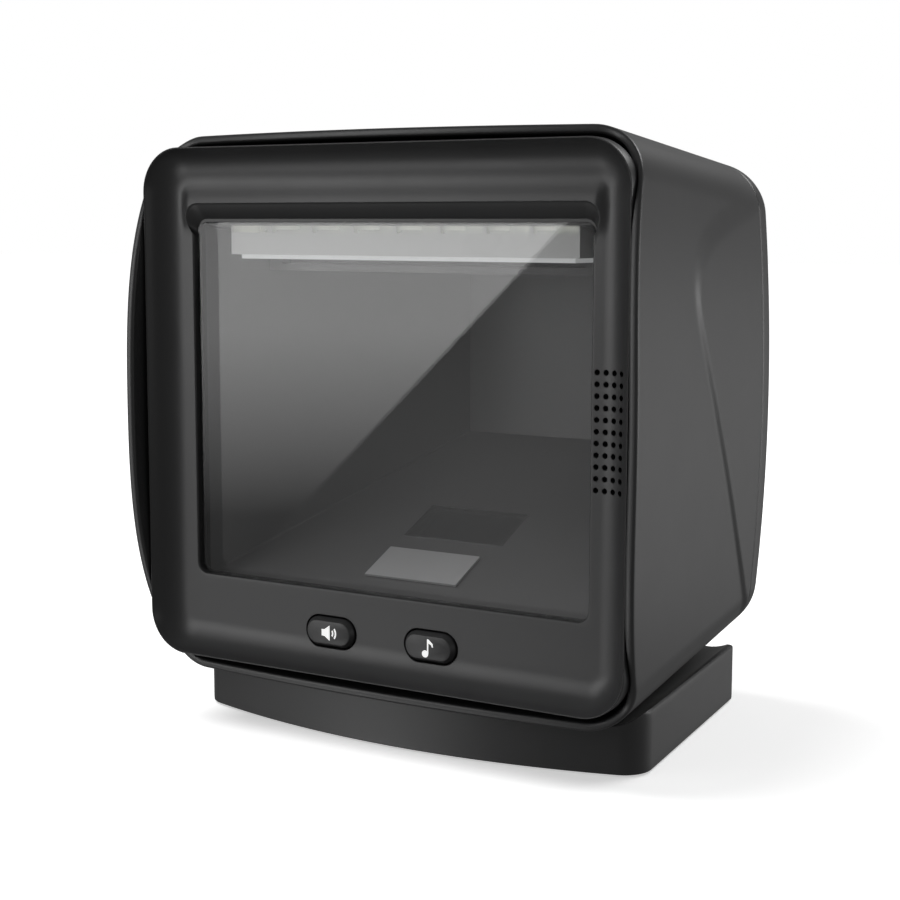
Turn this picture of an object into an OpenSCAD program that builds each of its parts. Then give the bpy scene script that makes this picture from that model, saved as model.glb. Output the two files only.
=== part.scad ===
// Countertop presentation barcode scanner of the kind set into a self-checkout lane.
// Millimetres. Origin: bottom centre of the whole object, +Z up, front faces -Y,
// +X is the side with the speaker holes.

/* [Head] */
// Width of the head at mid height, across the front edge
head_w = 156.4; // [150:0.2:162]
// Height of the head at its front edge
head_h = 150.5; // [146:0.5:156]
// Height of the middle of the head above the counter
head_mid_z = 89.6; // [89:0.1:92]
// Front-most point of the head, at the middle of its sides
head_front_y = -58.5; // [-60:0.1:-58]
// Seam between the housing and the rear cover
seam_y = 43.5; // [42:0.5:44]
// Rear face of the rear cover
head_rear_y = 58.5; // [57:0.5:60]
// How much each side narrows towards the rear, per mm
head_taper = 0.066; // [0.05:0.002:0.07]
// Radius of the long edges of the head
head_corner_r = 14; // [12:0.5:16]
// How far the sides bulge at mid height
head_crown = 2.4; // [2:0.1:2.6]
// Wall thickness of the plastic shells
wall = 2.4; // [2:0.1:2.6]

/* [Bezel and window] */
// Width of the front bezel
bezel_w = 148; // [147:0.5:149]
// Lower edge of the bezel
bezel_bottom_z = 19.8; // [19.5:0.1:20.5]
// Upper edge of the bezel
bezel_top_z = 161.2; // [160.5:0.1:161.5]
// Corner radius of the bezel
bezel_corner_r = 12; // [11:0.5:13]
// Plane of the flat inner border of the bezel
border_y = -48.5; // [-49:0.1:-48]
// How far the raised outer edge stands in front of the border
dish_depth = 6; // [5:0.5:6.5]
// Radius of the dished border
dish_r = 10; // [9.5:0.1:10.5]
// Width of the window opening
window_w = 122.4; // [121:0.2:123]
// Lower edge of the window opening
window_bottom_z = 42.5; // [42:0.1:43]
// Upper edge of the window opening
window_top_z = 141; // [140.5:0.1:141.5]
// Corner radius of the window opening
window_corner_r = 3; // [2:0.5:4]
// Thickness of the window
glass_t = 2; // [1.6:0.1:2.2]

/* [Buttons] */
// Distance of each button from the middle
button_x = 15.8; // [15:0.1:17]
// Height of the buttons
button_z = 30.7; // [30.4:0.1:31]
// Width of a button opening
button_w = 16.5; // [16:0.1:17]
// Height of a button opening
button_h = 10.5; // [10:0.1:10.8]
// Travel of a button
button_travel = 1; // [0.8:0.1:1.2]

/* [Speaker holes] */
// Rows of holes
hole_rows = 11; // [9:1:11]
// Columns of holes
hole_cols = 4; // [3:1:4]
// Distance between rows
hole_row_pitch = 2.9; // [2.8:0.05:3]
// Distance between columns
hole_col_pitch = 2.43; // [2.3:0.01:2.45]
// Diameter of a hole
hole_d = 1.4; // [1.2:0.1:1.5]
// X of the column next to the window
hole_first_x = 62.9; // [62.8:0.1:63]
// Z of the lowest row
hole_first_z = 76; // [75:0.5:78]

/* [Base] */
// Width of the base across its front corners
base_w = 141.5; // [140:0.5:143]
// Width of the base at its rear
base_rear_w = 127.4; // [126:0.5:129]
// Front-most point of the base
base_front_y = -45.7; // [-46:0.1:-45]
// Rear face of the base
base_rear_y = 46.7; // [46:0.5:47.5]
// Radius of the curved front of the base
base_front_r = 227; // [210:1:240]
// Corner radius at the front of the base
base_corner_r = 8.3; // [7:0.1:9]
// Height of the side walls of the base
base_top_z = 17; // [16.5:0.1:17.5]
// Height of the cradle surface under the head
cradle_z = 13; // [12.6:0.1:13.2]
// How far the feet stand out under the base
foot_out = 0.6; // [0.5:0.1:0.8]

/* [Tilt] */
// Pivot of the head, front to back
pivot_y = -10; // [-12:0.5:-8]
// Pivot of the head above the counter
pivot_z = 31; // [30.6:0.1:31.2]
// Diameter of the tilt pin
pin_d = 6; // [6:0.1:6]

/* [Hidden] */
$fn = 64;

eps = 0.01;
bezel_mid_z = (bezel_bottom_z + bezel_top_z) / 2;
bezel_h = bezel_top_z - bezel_bottom_z;
bezel_front_y = border_y - dish_depth;
dish_border = 9.5;
lip_back_y = -50;
skirt_back_y = -38;
window_mid_z = (window_bottom_z + window_top_z) / 2;
window_h = window_top_z - window_bottom_z;
plate_back_y = border_y + 2.6;
glass_y = plate_back_y + 1;

// optical chamber: a four-sided funnel from the window to the back wall
chamber_front_y = glass_y + glass_t + 0.1;
chamber_back_y = 41;
chamber_front = [60.4, 41.6, 139.6];   // half width, floor, ceiling inside the mouth
chamber_back = [24, 76, 126];          // half width, floor, ceiling inside the back
chamber_wall = 1.8;
chamber_len = chamber_back_y - chamber_front_y;
floor_slope = (chamber_back[1] - chamber_front[1]) / chamber_len;
floor_angle = atan(floor_slope);

board_y = 45;
board_t = 1.6;
port_z = 47.5;
neck_w = 32;
neck_d = 16;
m3_hole_r = 1.25;
m3_r = 1.2;
bracket_z = 22.2;

shell_color = [0.13, 0.13, 0.135];
dark_color = [0.06, 0.06, 0.065];
pcb_color = [0.05, 0.25, 0.14];
steel_color = [0.62, 0.63, 0.65];
white_color = [0.9, 0.9, 0.9];
rubber_color = [0.09, 0.09, 0.09];

// ---------- shared shapes ----------

// Right half of an outline with rounded corners and a side that bulges by crown
function crowned_half(hw, hh, r, crown, n) = concat(
  [for (i = [0:n]) let (a = -90 + 90 * i / n)
    [hw - crown - r + r * cos(a), -hh + r + r * sin(a)]],
  [for (i = [1:n - 1]) let (t = -1 + 2 * i / n) [hw - crown * t * t, t * (hh - r)]],
  [for (i = [0:n]) let (a = 90 * i / n) [hw - crown - r + r * cos(a), hh - r + r * sin(a)]]
);
function crowned_outline(hw, hh, r, crown, n = 8) =
  let (half = crowned_half(hw, hh, r, crown, n))
  concat(half, [for (i = [len(half) - 1:-1:0]) [-half[i][0], half[i][1]]]);

function head_half_w(y) = head_w / 2 - head_taper * (y - head_front_y);
function head_half_h(y) = head_h / 2 - head_taper * (y + 50.5);

// A flat shape drawn in X and Z, standing at y and thick towards +Y
module upright(y, thick) {
  translate([0, y + thick, 0]) rotate([90, 0, 0]) linear_extrude(thick) children();
}

// One cross-section of the head at y, made smaller by inset
module head_slice(y, thick, inset) {
  upright(y, thick) translate([0, head_mid_z]) polygon(crowned_outline(
    head_half_w(y) - inset, head_half_h(y) - inset, max(head_corner_r - inset, 1), head_crown));
}

module head_solid(y0, y1, inset) {
  hull() {
    head_slice(y0, eps, inset);
    head_slice(y1 - eps, eps, inset);
  }
}

// Rounded rectangle of exact arcs, centred
module rounded_rect(w, h, r) {
  square([w - 2 * r, h], center = true);
  square([w, h - 2 * r], center = true);
  for (sx = [-1, 1], sz = [-1, 1]) translate([sx * (w / 2 - r), sz * (h / 2 - r)]) circle(r);
}

module stadium(w, h) {
  rounded_rect(w, h, min(w, h) / 2 - eps);
}

// Cylinder along Y from y0 to y1
module rod_y(x, z, r, y0, y1) {
  translate([x, y1, z]) rotate([90, 0, 0]) cylinder(r = r, h = y1 - y0);
}

// Cylinder along X from x0 to x1
module rod_x(y, z, r, x0, x1) {
  translate([x0, y, z]) rotate([0, 90, 0]) cylinder(r = r, h = x1 - x0);
}

// Cylinder along Z from z0 to z1
module rod_z(x, y, r, z0, z1) {
  translate([x, y, z0]) cylinder(r = r, h = z1 - z0);
}

module box(x0, x1, y0, y1, z0, z1) {
  translate([x0, y0, z0]) cube([x1 - x0, y1 - y0, z1 - z0]);
}

// Pan-head screw along +Y, head at y0
module screw_y(x, z, y0, len) {
  rod_y(x, z, 2.4, y0 - 1.6, y0);
  rod_y(x, z, m3_r, y0 - eps, y0 + len);
}

// Screw along Z with its head below (up = 1) or above (up = -1) the point z0
module screw_z(x, y, z0, len, up) {
  if (up == 1) {
    rod_z(x, y, 2.4, z0 - 1.6, z0);
    rod_z(x, y, m3_r, z0 - eps, z0 + len);
  } else {
    rod_z(x, y, 2.4, z0, z0 + 1.6);
    rod_z(x, y, m3_r, z0 - len, z0 + eps);
  }
}

// ---------- front of the head ----------

// Cutter whose rounded edge leaves the dished border of the bezel
module dish_cutter() {
  hw = bezel_w / 2 - dish_border;
  hh = bezel_h / 2 - dish_border;
  translate([0, border_y - dish_r, bezel_mid_z]) {
    translate([-hw, 0, -hh]) cube([2 * hw, dish_r, 2 * hh]);
    for (sx = [-1, 1]) translate([sx * hw, 0, -hh]) cylinder(r = dish_r, h = 2 * hh);
    for (sz = [-1, 1]) translate([-hw, 0, sz * hh]) rotate([0, 90, 0])
      cylinder(r = dish_r, h = 2 * hw);
    for (sx = [-1, 1], sz = [-1, 1]) translate([sx * hw, 0, sz * hh]) sphere(r = dish_r);
  }
}

// Sloped brow above the window: wider at the front, window-sized at the back
module brow_cutter() {
  hull() {
    upright(border_y - 0.5, eps) translate([0, 141.4]) rounded_rect(127.4, 8.8, 4.3, $fn = 32);
    upright(border_y + 2.2, eps) translate([0, 138.8]) rounded_rect(window_w, 6.2, 3, $fn = 32);
  }
}

bezel_boss = [[-66.5, 34], [66.5, 34], [-66.5, 148], [66.5, 148]];

module front_bezel() {
  color(shell_color) difference() {
    union() {
      upright(bezel_front_y, lip_back_y - bezel_front_y)
        translate([0, bezel_mid_z]) rounded_rect(bezel_w, bezel_h, bezel_corner_r);
      difference() {
        upright(lip_back_y - eps, skirt_back_y - lip_back_y)
          translate([0, bezel_mid_z]) rounded_rect(bezel_w - 4.8, bezel_h - 4.8, 9.6);
        upright(plate_back_y, 20)
          translate([0, bezel_mid_z]) rounded_rect(bezel_w - 8.4, bezel_h - 8.4, 7.8);
      }
      for (p = bezel_boss) rod_y(p[0], p[1], 3, plate_back_y - 1, skirt_back_y - 0.5);
    }
    dish_cutter();
    brow_cutter();
    upright(border_y - 12, 30)
      translate([0, window_mid_z]) rounded_rect(window_w, window_h, window_corner_r);
    for (sx = [-1, 1]) upright(border_y - 8, 12)
      translate([sx * button_x, button_z]) stadium(button_w, button_h);
    for (c = [0:hole_cols - 1], i = [0:hole_rows - 1])
      rod_y(hole_first_x + c * hole_col_pitch, hole_first_z + i * hole_row_pitch,
        hole_d / 2, border_y - 12, border_y + 6);
    for (p = bezel_boss) rod_y(p[0], p[1], m3_hole_r, plate_back_y + 2, 0);
  }
}

module window_seal() {
  color(rubber_color) difference() {
    upright(plate_back_y, 1)
      translate([0, window_mid_z]) rounded_rect(window_w + 1.4, window_h + 6, 3.8);
    upright(plate_back_y - 1, 4)
      translate([0, window_mid_z]) rounded_rect(window_w, window_h, window_corner_r);
  }
}

module scan_window() {
  color([0.35, 0.36, 0.37, 0.35]) upright(glass_y, glass_t)
    translate([0, window_mid_z]) rounded_rect(window_w + 1.4, window_h + 6, 3.8);
}

// ---------- shells of the head ----------

cover_boss = [[-60, 40], [60, 40], [-58, 138], [58, 138]];
bracket_hole = [[-27, -27], [27, -27], [-27, 7], [27, 7]];

module main_housing() {
  color(shell_color) difference() {
    union() {
      intersection() {
        difference() {
          head_solid(head_front_y - 2, seam_y, 0);
          head_solid(head_front_y - 3, seam_y + 3, wall);
        }
        // front edge: bulged forwards at mid height, gently curved along top and bottom
        union() {
          rod_x(head_front_y + 235, head_mid_z + 1.4, 235, -100, 100);
          rod_z(0, -50.6 + 480, 480, 0, 200);
          translate([-100, 0, 0]) cube([200, 100, 200]);
        }
      }
      // screw posts for the rear cover, on the side walls
      for (p = cover_boss) {
        rod_y(p[0], p[1], 3.6, 26, seam_y - 1);
        box(min(p[0], sign(p[0]) * 69), max(p[0], sign(p[0]) * 69), 26, seam_y - 1,
          p[1] - 1.2, p[1] + 1.2);
      }
      // pads for the tilt bracket on the floor
      for (p = bracket_hole) rod_z(p[0], p[1], 4, head_floor(p[1]) - wall + 0.6, bracket_z);
    }
    // clearance round the bezel
    upright(head_front_y - 3, lip_back_y - head_front_y + 3.5) translate([0, bezel_mid_z])
      rounded_rect(bezel_w + 0.8, bezel_h + 0.8, bezel_corner_r + 0.4);
    // slot for the neck
    box(-21, 21, pivot_y - 13, pivot_y + 14, 0, bracket_z + 4);
    for (p = cover_boss) rod_y(p[0], p[1], m3_hole_r, 30, seam_y + 5);
    for (p = bracket_hole) rod_z(p[0], p[1], m3_hole_r, 18.4, bracket_z + 5);
  }
}

// Inner floor of the housing at y
function head_floor(y) = head_mid_z - head_half_h(y) + wall;

module rear_cover_solid(inset, y_rear) {
  r = 10 - inset;
  hull() {
    head_slice(seam_y, eps, inset);
    for (i = [0:6]) let (a = 15 * i, y = y_rear - r + r * sin(a)) upright(y - eps, eps)
      translate([0, head_mid_z]) polygon(crowned_outline(
        head_half_w(y) - inset - r * (1 - cos(a)), head_half_h(y) - inset - r * (1 - cos(a)),
        head_corner_r - inset, head_crown, 6));
  }
}

port_w = 15.9;
port_h = 13.3;

module rear_cover() {
  color(shell_color) difference() {
    union() {
      difference() {
        rear_cover_solid(0, head_rear_y);
        difference() {
          rear_cover_solid(wall, head_rear_y - wall);
          // screw posts
          for (p = cover_boss) rod_y(p[0], p[1], 4.2, seam_y - 1, head_rear_y);
        }
        translate([-100, seam_y - 5, 0]) cube([200, 5, 200]);
      }
      // locating lip that sits inside the housing
      intersection() {
        difference() {
          union() {
            head_solid(seam_y - 2, seam_y, wall + 0.15);
            head_solid(seam_y, seam_y + 1.5, wall - 0.5);
          }
          head_solid(seam_y - 3, seam_y + 2, wall + 1.6);
        }
        for (sx = [-1, 1]) box(sx > 0 ? 20 : -50, sx > 0 ? 50 : -20, seam_y - 3, seam_y + 3, 0, 200);
      }
    }
    for (p = cover_boss) {
      rod_y(p[0], p[1], 1.7, seam_y - 2, head_rear_y + 2);
      rod_y(p[0], p[1], 3.2, head_rear_y - 5, head_rear_y + 2);
    }
    // opening for the data port
    box(-port_w / 2 - 0.4, port_w / 2 + 0.4, 50, head_rear_y + 2,
      port_z - port_h / 2 - 0.4, port_z + port_h / 2 + 0.4);
    // shallow panel for a rating label
    upright(head_rear_y - 0.5, 3) translate([0, 92]) rounded_rect(64, 40, 3);
  }
}

// ---------- buttons ----------

module button_cap(x) {
  difference() {
    union() {
      hull() {
        upright(border_y - 1.6, eps) translate([x, button_z]) stadium(button_w - 3.4, button_h - 3.4);
        upright(border_y - 1, eps) translate([x, button_z]) stadium(button_w - 1.6, button_h - 1.6);
        upright(border_y + 2.6, eps) translate([x, button_z]) stadium(button_w - 1.2, button_h - 1.2);
      }
      rod_y(x, button_z, 2, border_y + 2, border_y + 5.6);
    }
    children();
  }
}

icon_y = border_y - 1.6;
icon_t = 0.3;

// Loudspeaker symbol, drawn in X and Z about its own middle
module speaker_symbol() {
  translate([-2.1, -0.9]) square([1.3, 1.8]);
  polygon([[-1.2, -0.9], [0.5, -2.1], [0.5, 2.1], [-1.2, 0.9]]);
  for (r = [1.3, 2.2]) intersection() {
    difference() {
      translate([0.2, 0]) circle(r + 0.25);
      translate([0.2, 0]) circle(r - 0.2);
    }
    polygon([[0.4, 0], [3.5, 2.6], [3.5, -2.6]]);
  }
}

// Eighth note symbol, drawn in X and Z about its own middle
module note_symbol() {
  translate([-0.8, -1.7]) circle(0.95);
  translate([-0.2, -1.7]) square([0.4, 4]);
  polygon([[-0.2, 2.3], [0.2, 2.3], [1.5, 1.2], [1.6, 0.3], [1.25, 0.3], [1.1, 0.8], [-0.2, 1.5]]);
}

module volume_button() {
  color(shell_color) button_cap(-button_x)
    upright(icon_y - 1, 1 + icon_t) translate([-button_x, button_z]) speaker_symbol();
}
module volume_icon() {
  color(white_color) upright(icon_y, icon_t) translate([-button_x, button_z]) speaker_symbol();
}
module tone_button() {
  color(shell_color) button_cap(button_x)
    upright(icon_y - 1, 1 + icon_t) translate([button_x, button_z]) note_symbol();
}
module tone_icon() {
  color(white_color) upright(icon_y, icon_t) translate([button_x, button_z]) note_symbol();
}

membrane_y = border_y + 2.6 + button_travel + 0.1;
module button_membrane() {
  color(rubber_color) difference() {
    upright(membrane_y, 1) translate([0, button_z]) rounded_rect(62, 13, 2);
    for (sx = [-1, 1]) rod_y(sx * button_x, button_z, 2.2, membrane_y - 1, membrane_y + 2);
  }
}

button_board_y = border_y + 9.4;
module button_board() {
  color(pcb_color) upright(button_board_y, 1.2) translate([0, button_z]) rounded_rect(92, 12, 1);
}
module button_switches() {
  color([0.2, 0.2, 0.21]) for (sx = [-1, 1]) {
    box(sx * button_x - 3, sx * button_x + 3, button_board_y - 2.2, button_board_y,
      button_z - 3, button_z + 3);
    rod_y(sx * button_x, button_z, 1.7, button_board_y - 2.7, button_board_y - 2.1);
  }
}

// ---------- optics ----------

// Funnel between the mouth and the back wall, grown outwards by g
module funnel(g, y0, y1) {
  hull() {
    upright(y0, eps) translate([-chamber_front[0] - g, chamber_front[1] - g])
      square([2 * (chamber_front[0] + g), chamber_front[2] - chamber_front[1] + 2 * g]);
    upright(y1 - eps, eps) translate([-chamber_back[0] - g, chamber_back[1] - g])
      square([2 * (chamber_back[0] + g), chamber_back[2] - chamber_back[1] + 2 * g]);
  }
}

engine_x = 3;
engine_y = -8;
engine_hw = 16;
engine_hd = 8.5;

// Height of the inner floor of the chamber at y
function chamber_floor(y) = chamber_front[1] + floor_slope * (y - chamber_front_y);
// Places children on the sloping floor at (x, y), local Z out of the floor
module on_floor(x, y) {
  translate([x, y, chamber_floor(y)]) rotate([floor_angle, 0, 0]) children();
}

board_hole = [[-20, 80], [20, 80], [-20, 120], [20, 120]];

module optical_chamber() {
  ear_y = skirt_back_y - 0.5;
  color(dark_color) difference() {
    union() {
      funnel(chamber_wall, chamber_front_y, chamber_back_y + chamber_wall);
      // mouth flange, narrower beside the speaker
      box(-68, 62.2, chamber_front_y, chamber_front_y + 1.6, 38.4, 150.2);
      // screw ears that reach the bosses of the bezel
      for (p = bezel_boss) {
        side = p[0] > 0 ? 1 : -1;
        z0 = p[1] < 90 ? 32 : 144;
        z1 = p[1] < 90 ? 44 : 150;
        rod_y(p[0], p[1], 3.4, ear_y, ear_y + 1.6);
        box(min(side * 60, p[0]), max(side * 60, p[0]), ear_y, ear_y + 1.6, p[1] - 2, p[1] + 2);
        box(min(side * 60.2, side * 62.2), max(side * 60.2, side * 62.2),
          chamber_front_y, ear_y + 1.6, z0, z1);
      }
      // posts for the main board
      for (p = board_hole) rod_y(p[0], p[1], 3, chamber_back_y + 1, board_y);
    }
    funnel(0, chamber_front_y - eps, chamber_back_y);
    // rebate and opening for the engine window
    on_floor(engine_x, engine_y) {
      box(-engine_hw, engine_hw, -engine_hd, engine_hd, -1, 5);
      box(1.5 - engine_hw, engine_hw - 1.5, 1.5 - engine_hd, engine_hd - 1.5, -6, 5);
    }
    // slot for the light bar in the ceiling
    box(-54.5, 54.5, -41, -25, 131, 151);
    for (p = bezel_boss) rod_y(p[0], p[1], 3.4, chamber_front_y - 1, ear_y);
    for (p = bezel_boss) rod_y(p[0], p[1], 1.6, ear_y - 1, ear_y + 3);
    for (p = board_hole) rod_y(p[0], p[1], m3_hole_r, chamber_back_y + 1, board_y + 1);
  }
}

// Blank plate on the floor of the chamber
module label_plate() {
  color([0.28, 0.28, 0.29]) on_floor(1.5, -29.3) box(-14.5, 14.5, -7.2, 7.2, 0, 0.6);
}

module engine_window() {
  color([0.02, 0.02, 0.03, 0.6]) on_floor(engine_x, engine_y)
    box(0.1 - engine_hw, engine_hw - 0.1, 0.1 - engine_hd, engine_hd - 0.1, -1, 0);
}

module engine_bracket() {
  color(steel_color) on_floor(engine_x, engine_y) {
    difference() {
      box(-15.4, 15.4, -8, 8, -11.6, -2.2);
      box(-14.2, 14.2, -9, 9, -10.4, 5);
      box(-11, 11, -6, 6, -13, 0);
    }
  }
}

module scan_engine() {
  color(dark_color) on_floor(engine_x, engine_y) difference() {
    box(-14.1, 14.1, -7.5, 7.5, -10.3, -3.2);
    translate([-5, 0, -7]) cylinder(r = 4.6, h = 5);
    // recess of the aiming lamp
    translate([7.5, 0, -5]) cylinder(r = 2.2, h = 5);
  }
}

module engine_lens() {
  color([0.1, 0.1, 0.16]) on_floor(engine_x, engine_y) translate([-5, 0, -7]) {
    cylinder(r = 4.5, h = 4.3);
    translate([0, 0, 4.3]) difference() {
      cylinder(r = 3.9, h = 0.6);
      translate([0, 0, 0.2]) cylinder(r = 3.1, h = 1);
    }
  }
}

module engine_board() {
  color(pcb_color) on_floor(engine_x, engine_y) box(-10.8, 10.8, -5.8, 5.8, -11.5, -10.4);
}

light_hw = 54;
light_cells = 8;
cell_pitch = 2 * light_hw / light_cells;

module light_reflector() {
  color(white_color) difference() {
    box(-light_hw, light_hw, -40.8, -25.2, 132.2, 145);
    for (i = [0:light_cells - 1]) let (x0 = -light_hw + i * cell_pitch)
      box(x0 + 0.6, x0 + cell_pitch - 0.6, -41.8, -28, 138.2, 143.8);
    for (i = [0:light_cells - 1]) rod_z(-light_hw + (i + 0.5) * cell_pitch, -34, 3, 143, 146);
    box(-light_hw + 2, light_hw - 2, -39, -27, 131, 139);
  }
}

module light_diffuser() {
  color([0.95, 0.95, 0.95, 0.6]) box(-light_hw + 2.1, light_hw - 2.1, -38.9, -27.1, 131, 133);
}

module light_board() {
  color(pcb_color) box(-light_hw, light_hw, -40.8, -25.2, 146.5, 147.7);
}

module light_leds() {
  color([0.95, 0.93, 0.75]) for (i = [0:light_cells - 1])
    box(-light_hw + (i + 0.5) * cell_pitch - 1.5, -light_hw + (i + 0.5) * cell_pitch + 1.5,
      -35.5, -32.5, 144.6, 146.5);
}

// Bar behind the diffuser that keeps stray light out of the lens
module light_bar_cover() {
  color(dark_color) difference() {
    translate([0, 0, 127.5]) linear_extrude(7.5)
      polygon([[-52.4, -25.2], [52.4, -25.2], [49.7, -19], [-49.7, -19]]);
    box(-48, 48, -26, -21, 129.5, 133.5);
  }
}

module main_board() {
  color(pcb_color) difference() {
    upright(board_y, board_t) translate([0, 84]) rounded_rect(92, 100, 2);
    for (p = board_hole) rod_y(p[0], p[1], 1.6, board_y - 1, board_y + 3);
  }
}

module main_board_chips() {
  back = board_y + board_t;
  color([0.05, 0.05, 0.05]) {
    box(-34, -20, back, back + 1.4, 92, 106);
    box(-12, 0, back, back + 1.2, 96, 105);
    box(8, 16, back, back + 1, 98, 106);
    box(24, 38, back, back + 5, 60, 70);
    for (i = [0:3]) rod_y(-36 + i * 9, 66, 3, back, back + 7);
  }
}

module data_port() {
  color([0.08, 0.08, 0.08]) difference() {
    box(-port_w / 2, port_w / 2, board_y + board_t, head_rear_y - 0.3,
      port_z - port_h / 2, port_z + port_h / 2);
    box(-5.9, 5.9, board_y + board_t + 1.4, head_rear_y + 1, port_z - 4.5, port_z + 2.5);
    box(-2.2, 2.2, head_rear_y - 7, head_rear_y + 1, port_z - 5.4, port_z - 4.4);
  }
}

// ---------- speaker behind the holes ----------

speaker_x = 66.2;
speaker_z = 90.5;

module speaker_frame() {
  color(dark_color) difference() {
    union() {
      box(62.6, 69.4, plate_back_y + 0.4, -37.8, 73.4, 107.6);
      box(61.4, 71, -37.9, -32, 72, 109);
    }
    box(63.2, 68.8, plate_back_y, -37, 74.2, 106.8);
    box(62.2, 70.2, -37, -33, 73, 108);
    rod_y(speaker_x, speaker_z, 3.4, -35, -31);
  }
}

module speaker_mesh() {
  color(dark_color) box(62.6, 69.4, plate_back_y + 0.02, plate_back_y + 0.38, 73.4, 107.6);
}

module speaker_cone() {
  color([0.15, 0.15, 0.15]) {
    upright(-36.6, 0.5) translate([speaker_x, speaker_z]) stadium(7.6, 33);
    rod_y(speaker_x, speaker_z, 2.6, -36.2, -33.2);
  }
}

module speaker_magnet() {
  color(steel_color) rod_y(speaker_x, speaker_z, 4.4, -31.98, -28.6);
}

module speaker_lead() {
  color([0.6, 0.08, 0.06]) {
    rod_y(64, 84, 0.9, -31.9, 43);
    translate([64, 43, 84]) sphere(r = 0.9);
    rod_x(43, 84, 0.9, 44, 64);
    rod_y(44.5, 84, 0.9, 43, board_y);
  }
}

// Flat ribbon cable: x0 to x1 wide, along a route of [y, z] points
module ribbon(x0, x1, route) {
  t = 0.35;
  color([0.75, 0.72, 0.6]) translate([x0, 0, 0]) rotate([90, 0, 90]) linear_extrude(x1 - x0)
    polygon(concat(route, [for (i = [len(route) - 1:-1:0]) [route[i][0], route[i][1] - t]]));
}

module engine_flex() {
  ribbon(engine_x - 5, engine_x + 5,
    [[-3.5, 45.2], [4, 45.2], [18, 42], [38, 40], [board_y, 38]]);
}
module button_flex() {
  ribbon(-44, -36, [[button_board_y + 1.2, 30], [-32, 27.5], [34, 27.5], [41, 32], [board_y, 37]]);
}
module light_flex() {
  ribbon(-5, 5, [[-25.2, 147.6], [-10, 146.5], [34, 137], [42, 132], [board_y, 131]]);
}

// ---------- tilt hinge ----------

pin_r = pin_d / 2;

module tilt_bracket() {
  ear_r = 5.5;
  color(steel_color) difference() {
    union() {
      box(-33, 33, -33, 13, bracket_z, bracket_z + 2);
      for (sx = [-1, 1]) {
        rod_x(pivot_y, pivot_z, ear_r, min(sx * 17, sx * 20), max(sx * 17, sx * 20));
        box(min(sx * 17, sx * 20), max(sx * 17, sx * 20), pivot_y - ear_r, pivot_y + ear_r,
          bracket_z, pivot_z);
      }
    }
    box(-16.9, 16.9, pivot_y - 12, pivot_y + 12, bracket_z - 1, bracket_z + 3);
    rod_x(pivot_y, pivot_z, pin_r + 0.05, -30, 30);
    for (p = bracket_hole) rod_z(p[0], p[1], 1.6, bracket_z - 1, bracket_z + 3);
  }
}

module neck_post() {
  ear_r = 5.5;
  color(dark_color) difference() {
    union() {
      box(-26, 26, pivot_y - 17, pivot_y + 17, 8, cradle_z - 2.6);
      box(-neck_w / 2, neck_w / 2, pivot_y - neck_d / 2, pivot_y + neck_d / 2, 8, 21);
      for (sx = [-1, 1]) {
        box(min(sx * 12, sx * 16), max(sx * 12, sx * 16), pivot_y - ear_r, pivot_y + ear_r,
          20, pivot_z);
        rod_x(pivot_y, pivot_z, ear_r, min(sx * 12, sx * 16), max(sx * 12, sx * 16));
      }
    }
    rod_x(pivot_y, pivot_z, pin_r + 0.02, -30, 30);
    for (sx = [-1, 1], sy = [-1, 1]) rod_z(sx * 21, pivot_y + sy * 13, 1.6, 7, 12);
  }
}

module tilt_pin() {
  color(steel_color) rod_x(pivot_y, pivot_z, pin_r, -22.5, 22.5);
}

module pin_ring(x0, x1, r) {
  difference() {
    rod_x(pivot_y, pivot_z, r, x0, x1);
    rod_x(pivot_y, pivot_z, pin_r + 0.02, x0 - 1, x1 + 1);
  }
}
module friction_washers() {
  color([0.85, 0.83, 0.75]) {
    pin_ring(16.05, 16.9, 5.4);
    pin_ring(-16.9, -16.05, 5.4);
  }
}
module pin_clips() {
  color(steel_color) {
    pin_ring(20.3, 21.1, 4.8);
    pin_ring(-21.1, -20.3, 4.8);
  }
}

// ---------- fasteners ----------

module tilt_screws() {
  color(steel_color) for (p = bracket_hole) screw_z(p[0], p[1], bracket_z + 2, 4.2, -1);
}
module chamber_screws() {
  color(steel_color) for (p = bezel_boss) mirror([0, 1, 0])
    screw_y(p[0], p[1], -(skirt_back_y + 1.1), 6);
}
module cover_screws() {
  color(steel_color) for (p = cover_boss) mirror([0, 1, 0]) translate([0, -(head_rear_y - 5), 0])
    screw_y(p[0], p[1], 0, 22);
}

module board_screws() {
  color(steel_color) for (p = board_hole) mirror([0, 1, 0])
    screw_y(p[0], p[1], -(board_y + board_t), 4);
}

// ---------- base ----------

base_boss = [[-48, -33], [48, -33], [-50, 36], [50, 36]];

// Plan of the base: curved front, tapering sides, small radius at the rear
module base_plan(inset) {
  offset(delta = -inset) union() {
    offset(r = base_corner_r) offset(delta = -base_corner_r) intersection() {
      polygon([[-base_w / 2, -50], [base_w / 2, -50], [base_w / 2, -34],
        [base_rear_w / 2, base_rear_y], [-base_rear_w / 2, base_rear_y], [-base_w / 2, -34]]);
      translate([0, base_front_y + base_front_r]) circle(base_front_r, $fn = 360);
    }
    offset(r = 1.5) offset(delta = -1.5) polygon([[base_w / 2 - 4, 0], [base_rear_w / 2, base_rear_y],
      [-base_rear_w / 2, base_rear_y], [-base_w / 2 + 4, 0]]);
  }
}

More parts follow.
